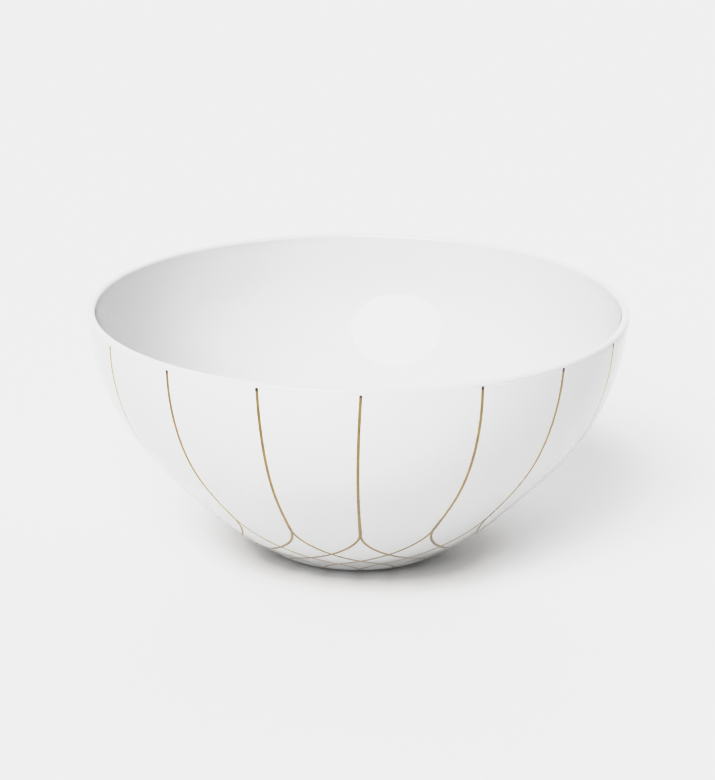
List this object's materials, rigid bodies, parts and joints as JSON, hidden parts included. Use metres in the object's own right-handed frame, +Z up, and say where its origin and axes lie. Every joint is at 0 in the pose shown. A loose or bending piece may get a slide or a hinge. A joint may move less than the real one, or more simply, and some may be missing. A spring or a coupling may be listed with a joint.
{
  "type": "serving bowl",
  "caption": "Deep round porcelain serving bowl on a low foot ring, with fine upright gold lines that fork and cross in a net around the base.",
  "frame": {"origin": "centre of the foot ring's bottom plane, on the bowl's axis", "axes": "+Z up along the bowl's axis, -Y towards the viewer in the rest view"},
  "size_m": [0.2508, 0.2509, 0.1171],
  "materials": {
    "porcelain": "clear gloss glaze over white porcelain",
    "gold": "burnished gold line"
  },
  "bodies": {
    "root": {"porcelain_body": "porcelain", "gold_line_01": "gold", "gold_line_02": "gold", "gold_line_03": "gold", "gold_line_04": "gold", "gold_line_05": "gold", "gold_line_06": "gold", "gold_line_07": "gold", "gold_line_08": "gold", "gold_line_09": "gold", "gold_line_10": "gold", "gold_line_11": "gold", "gold_line_12": "gold", "gold_line_13": "gold", "gold_line_14": "gold", "gold_line_15": "gold", "gold_line_16": "gold", "gold_lattice": "gold"}
  },
  "joints": []
}
